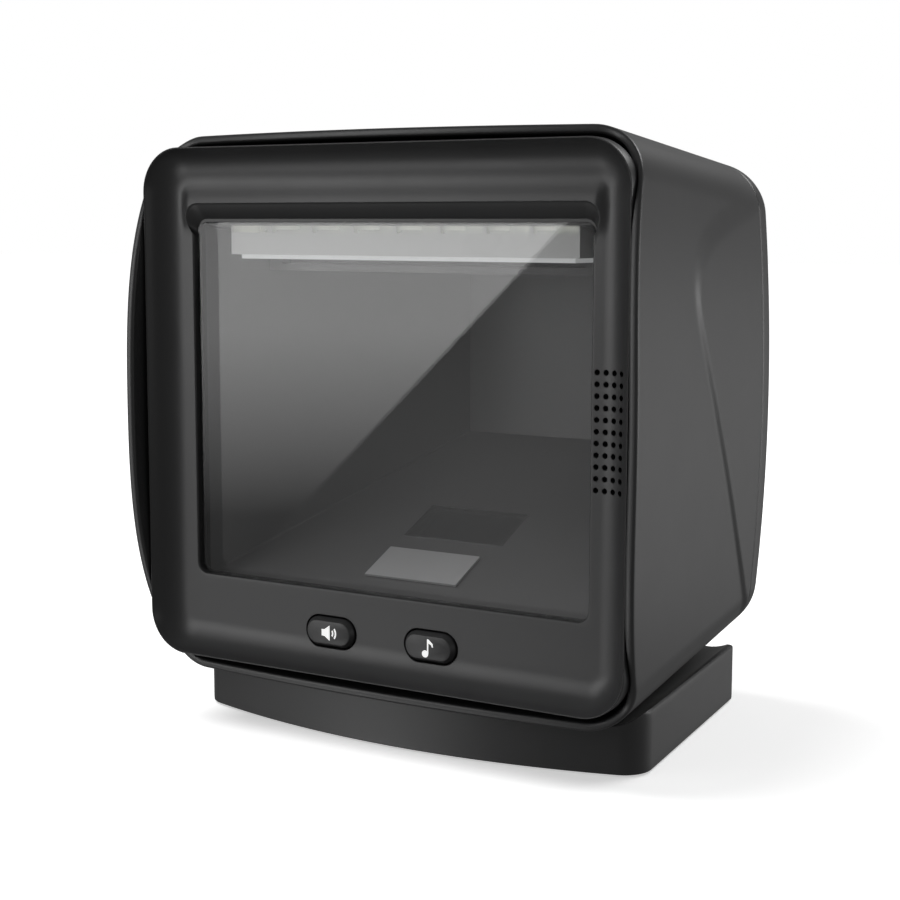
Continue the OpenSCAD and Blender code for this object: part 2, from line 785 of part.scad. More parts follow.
module base_shell() {
  color(shell_color) difference() {
    union() {
      difference() {
        translate([0, 0, foot_out]) linear_extrude(base_top_z - foot_out) base_plan(0);
        translate([0, 0, foot_out - 1]) linear_extrude(cradle_z - 2.5 - foot_out + 1) base_plan(2.4);
      }
      for (p = base_boss) rod_z(p[0], p[1], 3.5, 3.5, cradle_z - 2);
    }
    // cradle under the head, clear of it over the whole tilt
    hull() for (y = [-60, 60]) upright(y, eps)
      translate([0, cradle_z + 1.25 + y * 0.026 + 30])
        rounded_rect(2 * (head_half_w(y) - head_crown + 0.5), 60, head_corner_r, $fn = 32);
    box(-neck_w / 2 - 0.4, neck_w / 2 + 0.4, pivot_y - neck_d / 2 - 0.4,
      pivot_y + neck_d / 2 + 0.4, 5, 20);
    for (p = base_boss) rod_z(p[0], p[1], m3_hole_r, 3, 11.5);
    for (sx = [-1, 1], sy = [-1, 1]) rod_z(sx * 21, pivot_y + sy * 13, m3_hole_r, 5, 12.4);
  }
}

foot_at = [[-56, -22], [56, -22], [-52, 24], [52, 24]];

module base_plate() {
  color(dark_color) difference() {
    translate([0, 0, foot_out + 0.2]) linear_extrude(2.6) base_plan(2.6);
    for (p = foot_at) rod_z(p[0], p[1], 6.1, foot_out, foot_out + 1.2);
    for (p = base_boss) {
      rod_z(p[0], p[1], 1.6, foot_out, 5);
      rod_z(p[0], p[1], 2.8, foot_out, 2.6);
    }
  }
}

module ballast_plate() {
  color(steel_color) box(-44, 44, -30, 38, 3.5, 6.2);
}

module rubber_feet() {
  color(rubber_color) for (p = foot_at) rod_z(p[0], p[1], 6, 0, foot_out + 1.15);
}

module base_screws() {
  color(steel_color) for (p = base_boss) screw_z(p[0], p[1], 2.6, 7.5, 1);
}
module neck_screws() {
  color(steel_color) for (sx = [-1, 1], sy = [-1, 1])
    screw_z(sx * 21, pivot_y + sy * 13, 8, 4, 1);
}

// ---------- selection ----------

front_bezel();
window_seal();
scan_window();
main_housing();
rear_cover();
volume_button();
volume_icon();
tone_button();
tone_icon();
button_membrane();
button_board();
button_switches();
optical_chamber();
label_plate();
engine_window();
light_diffuser();
light_reflector();
light_board();
light_leds();
light_bar_cover();
engine_bracket();
scan_engine();
engine_lens();
engine_board();
main_board();
main_board_chips();
data_port();
speaker_frame();
speaker_cone();
speaker_magnet();
speaker_mesh();
speaker_lead();
engine_flex();
button_flex();
light_flex();
tilt_bracket();
tilt_screws();
chamber_screws();
cover_screws();
board_screws();
base_shell();
base_plate();
ballast_plate();
rubber_feet();
base_screws();
neck_post();
neck_screws();
tilt_pin();
friction_washers();
pin_clips();
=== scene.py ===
"""Looks of a countertop presentation barcode scanner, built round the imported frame."""

import math

import bmesh
import bpy
import numpy as np
from mathutils import Matrix, Vector


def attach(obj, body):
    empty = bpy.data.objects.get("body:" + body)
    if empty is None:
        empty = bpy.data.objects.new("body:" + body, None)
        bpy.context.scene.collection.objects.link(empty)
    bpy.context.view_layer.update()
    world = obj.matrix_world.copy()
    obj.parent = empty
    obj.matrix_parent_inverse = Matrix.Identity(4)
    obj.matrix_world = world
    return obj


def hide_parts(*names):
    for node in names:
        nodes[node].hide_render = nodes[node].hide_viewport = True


MM = 0.001

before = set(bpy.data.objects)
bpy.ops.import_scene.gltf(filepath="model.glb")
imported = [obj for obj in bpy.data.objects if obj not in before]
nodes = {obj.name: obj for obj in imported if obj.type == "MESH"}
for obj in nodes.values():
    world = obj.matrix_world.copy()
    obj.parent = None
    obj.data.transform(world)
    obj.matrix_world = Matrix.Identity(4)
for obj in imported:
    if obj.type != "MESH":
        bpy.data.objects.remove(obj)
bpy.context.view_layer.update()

# ---------------------------------------------------------------- sizes, mm

HEAD_MID_Z = 89.6
HEAD_W, HEAD_H = 156.4, 150.5
HEAD_FRONT_Y, SEAM_Y, HEAD_REAR_Y = -58.5, 43.5, 58.5
TOP_FRONT_Y = -50.5
TAPER = 0.066
HEAD_R = 14.0
CROWN = 2.4
WALL = 2.4
# edges on both sides of the seam: inset at the seam, then a soft step, then the full outline
SEAM_INSET, SEAM_STEP, SEAM_STEP_INSET, SEAM_REACH = 0.5, 0.12, 0.16, 0.45
# front edge of the housing: its sides bow back by SIDE_BOW over a half height, from a middle
# a little above the head's, and its top and bottom by a factor of X squared
SIDE_BOW, SIDE_BOW_HH, SIDE_BOW_POWER, SIDE_BOW_UP = 7.6, 62, 3.4, 1.5
TOP_EDGE_Y, TOP_BOW, BOTTOM_BOW = -50.7, 0.0012, 0.0007

BEZEL_HW, BEZEL_HH, BEZEL_Z, BEZEL_R = 74.0, 70.7, 90.5, 12.0
BORDER_Y = -48.5
DISH_R, DISH_BORDER = 10.0, 9.5
LIP_BACK_Y, SKIRT_BACK_Y, PLATE_BACK_Y = -50.0, -38.0, -45.9
WIN_HW, WIN_HH, WIN_Z, WIN_R = 61.2, 49.25, 91.75, 3.0
BUTTON_X, BUTTON_Z, BUTTON_HW, BUTTON_HH = 15.8, 30.7, 8.25, 4.5
PANE_GAP, PANE_RIM, PANE_STEP_Y, PANE_BACK_Y = 0.05, 0.65, -44.9, -42.9

# speaker holes: columns, rows, first hole, steps and radius
GRILLE_COLUMNS, GRILLE_ROWS = 4, 11
GRILLE_X, GRILLE_Z, GRILLE_STEP_X, GRILLE_STEP_Z, GRILLE_R = 62.9, 76, 2.43, 2.9, 0.7
# a cutter between these two goes through the front bezel
CUT_FRONT_Y, CUT_BACK_Y = -60, -40

# rear cover: screw bosses, data socket opening and label recess; CUT_REAR_Y is outside it
BOSSES = ((-60, 40), (60, 40), (-58, 138), (58, 138))
BOSS_R, BOSS_BORE_R, BOSS_END_Y = 4.2, 3.2, 57.2
SOCKET_HW, SOCKET_HH, SOCKET_Z, SOCKET_FRONT_Y = 8.35, 7.05, 47.5, 50
RECESS_HW, RECESS_HH, RECESS_R, RECESS_Z, RECESS_DEPTH = 32, 20, 3, 92, 0.5
CUT_REAR_Y = 62

BASE_FRONT_Y, BASE_REAR_Y, BASE_FRONT_R = -45.7, 46.7, 227.0
BASE_HW, BASE_HW_Y, BASE_REAR_HW, BASE_R = 70.75, -34.0, 63.7, 8.3
BASE_BOTTOM_Z, BASE_TOP_Z, CRADLE_Z = 0.6, 17.0, 13.0
BASE_WALL, BASE_ROOF_Z, BASE_EDGE = 2.4, 10.4, 0.7
CRADLE_LIFT, CRADLE_SLOPE = 1.25, 0.026

# cutters for the neck, from and to in X, Y and Z: slot in the head and opening in the base
HEAD_SLOT = (-21, 21, -23, 4, 5, 26)
BASE_OPENING = (-16.4, 16.4, -18.4, -1.6, 5, 20)

# point that the soft lights and the veil card face; the floor's reach from the middle, and depth
AIM = Vector((0, 0, 90))
FLOOR_REACH, FLOOR_DEPTH = 6000, 20.0


# ---------------------------------------------------------------- materials

def new_material(name):
    """Material with one plain shader, and its tree and shader to fill."""
    mat = bpy.data.materials.new(name)
    mat.use_nodes = True
    tree = mat.node_tree
    tree.nodes.clear()
    out = tree.nodes.new("ShaderNodeOutputMaterial")
    shader = tree.nodes.new("ShaderNodeBsdfPrincipled")
    tree.links.new(shader.outputs[0], out.inputs[0])
    return mat, tree, shader


def object_noise(tree, scale, detail=2.0, rough=0.5):
    """Noise in the object's own coordinates; scale is in features per metre."""
    coord = tree.nodes.new("ShaderNodeTexCoord")
    noise = tree.nodes.new("ShaderNodeTexNoise")
    noise.inputs["Scale"].default_value = scale
    noise.inputs["Detail"].default_value = detail
    noise.inputs["Roughness"].default_value = rough
    tree.links.new(coord.outputs["Object"], noise.inputs["Vector"])
    return noise.outputs["Fac"]


def spread(tree, value, low, high, start=0.3, end=0.7):
    """Maps a value from start..end to low..high."""
    ramp = tree.nodes.new("ShaderNodeMapRange")
    ramp.inputs["From Min"].default_value = start
    ramp.inputs["From Max"].default_value = end
    ramp.inputs["To Min"].default_value = low
    ramp.inputs["To Max"].default_value = high
    tree.links.new(value, ramp.inputs["Value"])
    return ramp.outputs["Result"]


def mixed(tree, fac, a, b):
    """Colour between a and b."""
    mix = tree.nodes.new("ShaderNodeMix")
    mix.data_type = "RGBA"
    mix.inputs["A"].default_value = (*a, 1)
    mix.inputs["B"].default_value = (*b, 1)
    tree.links.new(fac, mix.inputs["Factor"])
    return mix.outputs["Result"]


def bumped(tree, shader, height, distance, round_edges=0.0):
    """Bump from a height; with a radius, edges look softened too."""
    bump = tree.nodes.new("ShaderNodeBump")
    bump.inputs["Strength"].default_value = 1.0
    bump.inputs["Distance"].default_value = distance
    tree.links.new(height, bump.inputs["Height"])
    if round_edges:
        bevel = tree.nodes.new("ShaderNodeBevel")
        bevel.samples = 4
        bevel.inputs["Radius"].default_value = round_edges
        tree.links.new(bevel.outputs["Normal"], bump.inputs["Normal"])
    tree.links.new(bump.outputs["Normal"], shader.inputs["Normal"])


def moulded(name, dark, light, rough, grain=2600, depth=0.000016, edges=0.0,
            rough_range=0.05):
    """Moulded plastic or rubber: spark texture, uneven gloss, slightly worn edges."""
    mat, tree, shader = new_material(name)
    cloud = object_noise(tree, 55, 3)
    fine = object_noise(tree, grain, 2, 0.6)
    geometry = tree.nodes.new("ShaderNodeNewGeometry")
    worn = spread(tree, geometry.outputs["Pointiness"], 0.0, 0.35, 0.52, 0.62)
    total = tree.nodes.new("ShaderNodeMath")
    total.operation = "ADD"
    total.use_clamp = True
    tree.links.new(spread(tree, cloud, 0.0, 0.6), total.inputs[0])
    tree.links.new(worn, total.inputs[1])
    tree.links.new(mixed(tree, total.outputs[0], dark, light), shader.inputs["Base Color"])
    tree.links.new(spread(tree, cloud, rough - rough_range, rough + rough_range),
                   shader.inputs["Roughness"])
    shader.inputs["Specular IOR Level"].default_value = 0.5
    bumped(tree, shader, fine, depth, edges)
    return mat


def glass(name, tint, rough, alpha):
    """Thin clear or smoked pane with faint smears; alpha is how much it hides."""
    mat, tree, shader = new_material(name)
    shader.inputs["Alpha"].default_value = alpha
    shader.inputs["IOR"].default_value = 3.0
    smear = object_noise(tree, 30, 4, 0.6)
    tree.links.new(mixed(tree, spread(tree, smear, 0, 1), tint, [c * 0.97 for c in tint]),
                   shader.inputs["Base Color"])
    tree.links.new(spread(tree, smear, rough * 0.5, rough), shader.inputs["Roughness"])
    bumped(tree, shader, object_noise(tree, 900, 1), 0.0000004)
    return mat


def metal(name, color, rough):
    """Plated steel with drawn lines along X."""
    mat, tree, shader = new_material(name)
    coord = tree.nodes.new("ShaderNodeTexCoord")
    stretch = tree.nodes.new("ShaderNodeMapping")
    stretch.inputs["Scale"].default_value = (0.04, 1, 1)
    noise = tree.nodes.new("ShaderNodeTexNoise")
    noise.inputs["Scale"].default_value = 4200
    tree.links.new(coord.outputs["Object"], stretch.inputs["Vector"])
    tree.links.new(stretch.outputs["Vector"], noise.inputs["Vector"])
    lines = noise.outputs["Fac"]
    shader.inputs["Metallic"].default_value = 1.0
    tree.links.new(mixed(tree, lines, [c * 0.8 for c in color], color),
                   shader.inputs["Base Color"])
    tree.links.new(spread(tree, lines, rough - 0.08, rough + 0.08), shader.inputs["Roughness"])
    bumped(tree, shader, lines, 0.000004)
    return mat


SHELL = moulded("shell_plastic", (0.022, 0.022, 0.0225), (0.026, 0.026, 0.0265), 0.37,
                edges=0.00035, rough_range=0.015)
BUTTON = moulded("button_plastic", (0.02, 0.02, 0.0205), (0.028, 0.028, 0.0285), 0.40,
                 edges=0.0002)
# lighter grey than the other inner plastic: painted light standing in for the light inside the funnel
CHAMBER = moulded("chamber_plastic_painted_light", (0.1, 0.1, 0.101), (0.11, 0.11, 0.111), 0.3,
                  grain=1800, depth=0.0000005, rough_range=0.02)
INNER = moulded("inner_plastic", (0.017, 0.017, 0.018), (0.024, 0.024, 0.025), 0.34,
                grain=1800, depth=0.00001)
RUBBER = moulded("rubber", (0.012, 0.012, 0.012), (0.022, 0.022, 0.022), 0.7,
                 grain=1400, depth=0.00002)
WHITE = moulded("reflector_white", (0.72, 0.73, 0.72), (0.82, 0.83, 0.82), 0.3,
                depth=0.000006)
LABEL = moulded("label_film", (0.46, 0.46, 0.465), (0.48, 0.48, 0.485), 0.3,
                depth=0.000001, rough_range=0.01)
BOARD = moulded("board_green", (0.01, 0.08, 0.035), (0.02, 0.12, 0.05), 0.35,
                grain=900, depth=0.00001)
FLEX = moulded("flex_film", (0.35, 0.2, 0.05), (0.5, 0.3, 0.08), 0.3, grain=600)
LEAD = moulded("lead_red", (0.3, 0.015, 0.01), (0.4, 0.03, 0.02), 0.4)
WASHER = moulded("washer_plastic", (0.6, 0.57, 0.48), (0.72, 0.69, 0.6), 0.4)
STEEL = metal("plated_steel", (0.6, 0.61, 0.63), 0.3)
WINDOW = glass("window_glass", (0.01, 0.011, 0.011), 0.004, 0.12)
SMOKED = glass("smoked_glass", (0.004, 0.004, 0.006), 0.05, 0.7)
LENS = moulded("lens_glass", (0.004, 0.004, 0.012), (0.01, 0.008, 0.03), 0.08,
               depth=0.000001)


def glow(name, color, strength):
    """Plastic that glows a little: lit parts of the light bar, and icons with a painted glow that
    brightens them.
    """
    mat, tree, shader = new_material(name)
    cloud = object_noise(tree, 240, 2)
    tree.links.new(mixed(tree, cloud, [c * 0.9 for c in color], color),
                   shader.inputs["Base Color"])
    tree.links.new(mixed(tree, cloud, [c * 0.85 for c in color], color),
                   shader.inputs["Emission Color"])
    tree.links.new(spread(tree, cloud, 0.35, 0.5), shader.inputs["Roughness"])
    shader.inputs["Emission Strength"].default_value = strength
    return mat


DIFFUSER = glow("diffuser_lit", (0.9, 0.92, 0.92), 0.25)
# the icons are no lamp: their glow is painted light that makes them look brightly lit
ICON = glow("icon_white", (0.92, 0.92, 0.91), 0.55)
LED = glow("led_lit", (1.0, 0.97, 0.88), 6.0)


# ---------------------------------------------------------------- mesh helpers

def make_mesh(name, points, faces):
    """Object from points in mm."""
    mesh = bpy.data.meshes.new(name)
    mesh.from_pydata([tuple(p * MM) for p in np.asarray(points, float)], [], faces)
    mesh.validate()
    bm = bmesh.new()
    bm.from_mesh(mesh)
    bmesh.ops.recalc_face_normals(bm, faces=bm.faces)
    bm.to_mesh(mesh)
    bm.free()
    obj = bpy.data.objects.new(name, mesh)
    bpy.context.scene.collection.objects.link(obj)
    return obj


def loft(rings, closed=False):
    """Points and faces of quads between rings of equal length, with end faces if open."""
    count, n = len(rings), len(rings[0])
    points = np.concatenate([np.asarray(r, float) for r in rings])
    faces = []
    for i in range(count if closed else count - 1):
        a, b = i * n, ((i + 1) % count) * n
        for j in range(n):
            k = (j + 1) % n
            faces.append((a + j, a + k, b + k, b + j))
    if not closed:
        faces.append(tuple(range(n))[::-1])
        faces.append(tuple(range((count - 1) * n, count * n)))
    return points, faces


def join_parts(parts):
    """One point and face list from several."""
    points, faces, start = [], [], 0
    for p, f in parts:
        points.append(p)
        faces += [tuple(i + start for i in face) for face in f]
        start += len(p)
    return np.concatenate(points), faces


def tidy_normals(obj, angle=35):
    """Outward faces, smooth but for real edges."""
    bm = bmesh.new()
    bm.from_mesh(obj.data)
    bmesh.ops.recalc_face_normals(bm, faces=bm.faces)
    limit = math.radians(angle)
    for face in bm.faces:
        face.smooth = True
    for edge in bm.edges:
        edge.smooth = not (edge.is_manifold and edge.calc_face_angle(0) > limit)
    bm.to_mesh(obj.data)
    bm.free()


def carve(obj, *cutters, operation="DIFFERENCE"):
    """Exact boolean of obj with other objects, which are then removed."""
    for cutter in cutters:
        mod = obj.modifiers.new("cut", "BOOLEAN")
        mod.operation = operation
        mod.solver = "EXACT"
        mod.object = cutter
    bpy.context.view_layer.update()
    graph = bpy.context.evaluated_depsgraph_get()
    mesh = bpy.data.meshes.new_from_object(obj.evaluated_get(graph))
    obj.modifiers.clear()
    obj.data = mesh
    for cutter in cutters:
        bpy.data.objects.remove(cutter)


def finish_piece(obj, material, body, replaced, angle=35):
    """Material, body and the CAD nodes the piece stands for."""
    tidy_normals(obj, angle)
    obj.data.materials.clear()
    obj.data.materials.append(material)
    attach(obj, body)
    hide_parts(*replaced)


def outline(hw, hh, r, arc=12, side=24, top=24):
    """Rounded rectangle about (0, 0), counter-clockwise from its lower right corner."""
    r = max(r, 0.02)
    points = []
    corners = ((1, -1, -90), (1, 1, 0), (-1, 1, 90), (-1, -1, 180))
    for index, (sx, sz, start) in enumerate(corners):
        for i in range(arc + 1):
            a = math.radians(start + 90 * i / arc)
            points.append((sx * (hw - r) + r * math.cos(a), sz * (hh - r) + r * math.sin(a)))
        nx, nz, _ = corners[(index + 1) % 4]
        a = math.radians(start + 90)
        here = points[-1]
        there = (nx * (hw - r) + r * math.cos(a), nz * (hh - r) + r * math.sin(a))
        steps = side if index % 2 == 0 else top
        for i in range(1, steps):
            t = i / steps
            points.append((here[0] + (there[0] - here[0]) * t,
                           here[1] + (there[1] - here[1]) * t))
    return np.array(points)


def at_y(flat, y, z=0.0):
    """Flat X and Z points standing at y, moved up by z."""
    out = np.empty((len(flat), 3))
    out[:, 0], out[:, 2] = flat[:, 0], flat[:, 1] + z
    out[:, 1] = y
    return out


def ease(t):
    """Smooth step from 0 to 1."""
    t = np.clip(t, 0.0, 1.0)
    return t * t * (3 - 2 * t)


def rod(x, z, r, y0, y1, n=24):
    """Closed cylinder along Y."""
    a = np.arange(n) * 2 * math.pi / n
    flat = np.stack([x + r * np.cos(a), z + r * np.sin(a)], 1)
    return loft([at_y(flat, y0), at_y(flat, y1)])


def box_mesh(x0, x1, y0, y1, z0, z1):
    """Closed box."""
    ring = np.array([(x0, z0), (x1, z0), (x1, z1), (x0, z1)], float)
    return loft([at_y(ring, y0), at_y(ring, y1)])


def stadium(hw, hh):
    """Flat outline with round ends."""
    return outline(hw, hh, min(hw, hh), arc=20, side=2, top=12)


# ---------------------------------------------------------------- front bezel

def bezel_ring(inset, y):
    return at_y(outline(BEZEL_HW - inset, BEZEL_HH - inset, BEZEL_R - inset, 16, 48, 48), y, BEZEL_Z)


def window_ring(grow, y):
    return at_y(outline(WIN_HW + grow, WIN_HH + grow, WIN_R + grow, 16, 48, 48), y, WIN_Z)


# brow cutter from front to back: y, half width, half height, upper edge
BROW = ((-62, 63.6, 4.4, 146.3), (-49.6, 63.6, 4.4, 146.3), (-49.3, 63.45, 4.3, 146.05),
        (-49.05, 63.2, 4.2, 145.7), (-48.85, 62.9, 4.1, 145.3), (-46.7, 61.6, 3.3, 142.4),
        (-46.2, 61.25, 3.1, 141.9))
# bezel from the end of its dished edge round the outer rim and the skirt to its back: inset, y
RIM = ((0.42, -54.24), (0.27, -54.4), (0.12, -54.4), (0.03, -54.25), (0, -54.0),
       (0, -52), (0, -50.5), (0.06, -50.2), (0.3, LIP_BACK_Y), (2.4, LIP_BACK_Y),
       (2.4, SKIRT_BACK_Y), (4.2, SKIRT_BACK_Y), (4.2, PLATE_BACK_Y))


def make_bezel():
    lip, depth = 0.5, 0.7
    rings = [window_ring(0, PLATE_BACK_Y)]
    # rounded lip of the window opening
    for i in range(9):
        a = math.radians(11.25 * i)
        rings.append(window_ring(lip * (1 - math.cos(a)), BORDER_Y + depth * (1 - math.sin(a))))
    # flat border from the lip to the dished edge
    inner, outer = rings[-1], bezel_ring(DISH_BORDER, BORDER_Y)
    for i in range(1, 9):
        rings.append(inner + (outer - inner) * i / 9)
    # dished edge, up to the angle where the rim begins
    dish_end = 63
    for i in range(17):
        a = math.radians(dish_end * i / 16)
        rings.append(bezel_ring(DISH_BORDER - DISH_R * math.sin(a),
                                BORDER_Y - DISH_R * (1 - math.cos(a))))
    rings += [bezel_ring(inset, y) for inset, y in RIM]
    points, faces = loft(rings, closed=True)
    # the border stands a little further forward in the strip that holds the brow
    x, z = np.abs(points[:, 0]), points[:, 2]
    flat = (points[:, 1] < BORDER_Y + 2.5) & (points[:, 1] > BORDER_Y - 0.7)
    forward = ease((151.5 - z) / 5.5) * ease((66 - x) / 4) * ease((z - 138) / 5)
    points[flat, 1] -= forward[flat]
    bezel = make_mesh("bezel", points, faces)
    # sloped brow above the window
    brow = [at_y(outline(hw, hh, hh - 0.05, 12, 4, 4), y, top - hh)
            for y, hw, hh, top in BROW]
    cutters = [make_mesh("cut_brow", *loft(brow))]
    holes = [rod(GRILLE_X + column * GRILLE_STEP_X, GRILLE_Z + row * GRILLE_STEP_Z, GRILLE_R,
                 CUT_FRONT_Y, CUT_BACK_Y, 20)
             for column in range(GRILLE_COLUMNS) for row in range(GRILLE_ROWS)]
    holes += [loft([at_y(stadium(BUTTON_HW, BUTTON_HH) + (sx * BUTTON_X, 0), y, BUTTON_Z)
                    for y in (CUT_FRONT_Y, CUT_BACK_Y)]) for sx in (-1, 1)]
    cutters.append(make_mesh("cut_holes", *join_parts(holes)))
    carve(bezel, *cutters)
    finish_piece(bezel, SHELL, "head", ["front_bezel"], 30)


# ---------------------------------------------------------------- housing and rear cover

def half_w(y):
    """Half width of the head at y; it narrows towards the rear."""
    return HEAD_W / 2 - TAPER * (y - HEAD_FRONT_Y)


def half_h(y):
    """Half height of the head at y; HEAD_H is its full height at TOP_FRONT_Y."""
    return HEAD_H / 2 - TAPER * (y - TOP_FRONT_Y)


def crowned(hw, hh, r, arc, side, top):
    """Head outline: rounded, with sides that bulge at mid height."""
    flat = outline(hw, hh, r, arc, side, top)
    t = flat[:, 1] / (hh - r)
    share = np.clip(np.abs(flat[:, 0]) / (hw * 0.8), 0, 1)
    flat[:, 0] -= np.sign(flat[:, 0]) * CROWN * t * t * share
    return flat


# side crease as Y and Z: a shallow upper run, a rounded nose and a straight lower run
CREASE = np.array([(44, 149), (12, 142), (-8, 135), (-15, 124), (-8, 106), (20, 60), (44, 25)],
                  float)
CREASE_RISE = 0.7
# half width of the crease's slope, and how much more it gets over a stretch above a height
CREASE_SOFT, CREASE_SOFT_MORE, CREASE_TOP_Z, CREASE_TOP_RUN = 1.1, 3.4, 118, 16


def smooth_line(points, steps=8):
    """Catmull-Rom curve through the points."""
    p = np.vstack([2 * points[0] - points[1], points, 2 * points[-1] - points[-2]])
    out = []
    for i in range(1, len(p) - 2):
        for s in range(steps):
            t = s / steps
            out.append(0.5 * (2 * p[i] + (p[i + 1] - p[i - 1]) * t
                              + (2 * p[i - 1] - 5 * p[i] + 4 * p[i + 1] - p[i + 2]) * t * t
                              + (3 * p[i] - p[i - 1] - 3 * p[i + 1] + p[i + 2]) * t ** 3))
    out.append(p[-2])
    return np.array(out)


CREASE_LINE = smooth_line(CREASE)


def crease_height(y, z):
    """0 outside the crease, 1 in the area behind it; wide and soft along the top."""
    p = np.stack([y, z], 1)
    best = np.full(len(p), 1e9)
    side = np.zeros(len(p))
    for start, end in zip(CREASE_LINE[:-1], CREASE_LINE[1:]):
        d = end - start
        t = np.clip(((p - start) @ d) / (d @ d), 0, 1)
        gap = p - (start + t[:, None] * d)
        dist = np.hypot(gap[:, 0], gap[:, 1])
        cross = d[0] * gap[:, 1] - d[1] * gap[:, 0]
        near = dist < best
        best = np.where(near, dist, best)
        side = np.where(near, np.sign(cross), side)
    inside = best * side
    width = CREASE_SOFT + CREASE_SOFT_MORE * ease((z - CREASE_TOP_Z) / CREASE_TOP_RUN)
    return ease(0.5 + inside / (2 * width))


def front_edge(x, z):
    """Y of the housing's front edge round the outline: bowed sides, a bowed top and bottom."""
    bow = (np.abs(z - HEAD_MID_Z - SIDE_BOW_UP) / SIDE_BOW_HH) ** SIDE_BOW_POWER
    side = HEAD_FRONT_Y + SIDE_BOW * bow
    top = TOP_EDGE_Y + np.where(z > HEAD_MID_Z, TOP_BOW, BOTTOM_BOW) * x * x
    # soft minimum of the two, rounded over about this length
    blend = 0.8
    return -blend * np.log(np.exp(-side / blend) + np.exp(-top / blend))


def make_housing():
    arc, side, top, length = 18, 150, 36, 112
    edge = 0.8
    base = crowned(half_w(HEAD_FRONT_Y), half_h(HEAD_FRONT_Y), HEAD_R, arc, side, top)
    front = front_edge(base[:, 0], base[:, 1] + HEAD_MID_Z)

    def ring(y, inset):
        """Outline whose points each stand at their own y."""
        flats = np.empty((len(base), 3))
        lo, hi = min(y.min(), -60), 60
        a = crowned(half_w(lo) - inset, half_h(lo) - inset, HEAD_R - inset, arc, side, top)
        b = crowned(half_w(hi) - inset, half_h(hi) - inset, HEAD_R - inset, arc, side, top)
        t = ((y - lo) / (hi - lo))[:, None]
        flat = a + (b - a) * t
        flats[:, 0], flats[:, 1], flats[:, 2] = flat[:, 0], y, flat[:, 1] + HEAD_MID_Z
        return flats

    rings = []
    for i in range(5):
        a = math.radians(90 - 22.5 * i)
        rings.append(ring(front + edge * (1 - math.sin(a)), edge * (1 - math.cos(a))))
    start = front + edge
    for i in range(1, length + 1):
        rings.append(ring(start + (SEAM_Y - SEAM_REACH - start) * i / length, 0.0))
    outer_count = len(rings)
    full = np.full(len(base), SEAM_Y)
    rings += [ring(full - SEAM_STEP, SEAM_STEP_INSET), ring(full, SEAM_INSET), ring(full, WALL)]
    for i in range(1, 25):
        rings.append(ring(full + (start - full) * i / 24, WALL))
    for i in range(1, 4):
        a = math.radians(30 * i)
        rings.append(ring(front + edge * (1 - math.sin(a)), WALL - edge * (1 - math.cos(a))))
    points, faces = loft(rings, closed=True)
    # crease on the outer side walls, which fades out at the seam and near the corners
    flank_hh, flank_x, seam_fade, corner_fade = 66, 55, 2.5, 6
    height = np.abs(points[:, 2] - HEAD_MID_Z)
    outer = np.arange(len(points)) < outer_count * len(base)
    flank = outer & (height < flank_hh) & (np.abs(points[:, 0]) > flank_x)
    rise = crease_height(points[flank, 1], points[flank, 2])
    keep = ease((SEAM_Y - points[flank, 1]) / seam_fade)
    keep *= ease((flank_hh - height[flank]) / corner_fade)
    points[flank, 0] += np.sign(points[flank, 0]) * CREASE_RISE * rise * keep
    housing = make_mesh("housing", points, faces)
    # room for the bezel, from in front of the head to just behind the bezel's lip
    gap, before = 0.4, -61.5
    clearance = loft([at_y(outline(BEZEL_HW + gap, BEZEL_HH + gap, BEZEL_R + gap), y, BEZEL_Z)
                      for y in (before, LIP_BACK_Y + 0.5)])
    carve(housing, make_mesh("cut_slot", *box_mesh(*HEAD_SLOT)),
          make_mesh("cut_bezel", *clearance))
    finish_piece(housing, SHELL, "head", ["main_housing"], 30)


def make_rear_cover():
    arc, side, top = 18, 60, 36

    def ring(y, inset):
        flat = crowned(half_w(y) - inset, half_h(y) - inset, max(HEAD_R - inset, 3), arc, side, top)
        return at_y(flat, y, HEAD_MID_Z)

    def dome(inset, y_rear, r):
        """Quarter round from the side wall into the rear wall."""
        rings = []
        for i in range(13):
            a = math.radians(7.5 * i)
            rings.append(ring(y_rear - r + r * math.sin(a), inset + r * (1 - math.cos(a))))
        return rings

    def shell(start, inset, y_rear, r):
        """Rings over the edge and across the rear wall, towards its middle."""
        rings = start + dome(inset, y_rear, r)
        middle = np.array([0, y_rear, HEAD_MID_Z])
        return rings + [middle + (rings[-1] - middle) * s for s in (0.75, 0.5, 0.25, 0.06)]

    edge = [ring(SEAM_Y, SEAM_INSET), ring(SEAM_Y + SEAM_STEP, SEAM_STEP_INSET),
            ring(SEAM_Y + SEAM_REACH, 0), ring(SEAM_Y + 2, 0)]
    outer = shell(edge, 0, HEAD_REAR_Y, 10)
    inner = shell([ring(SEAM_Y, WALL)], WALL, HEAD_REAR_Y - WALL, 7.6)
    points, faces = loft(inner[::-1] + outer)
    cover = make_mesh("rear_cap", points, faces)
    posts = [rod(x, z, BOSS_R, SEAM_Y + 0.6, BOSS_END_Y) for x, z in BOSSES]
    carve(cover, make_mesh("posts", *join_parts(posts)), operation="UNION")
    cuts = [rod(x, z, BOSS_BORE_R, HEAD_REAR_Y - 5, CUT_REAR_Y, 32) for x, z in BOSSES]
    cuts.append(box_mesh(-SOCKET_HW, SOCKET_HW, SOCKET_FRONT_Y, CUT_REAR_Y,
                         SOCKET_Z - SOCKET_HH, SOCKET_Z + SOCKET_HH))
    cuts.append(loft([at_y(outline(RECESS_HW, RECESS_HH, RECESS_R, 10, 2, 2), y, RECESS_Z)
                      for y in (HEAD_REAR_Y - RECESS_DEPTH, CUT_REAR_Y)]))
    carve(cover, make_mesh("cut_cover", *join_parts(cuts)))
    finish_piece(cover, SHELL, "head", ["rear_cover"], 30)


# ---------------------------------------------------------------- buttons

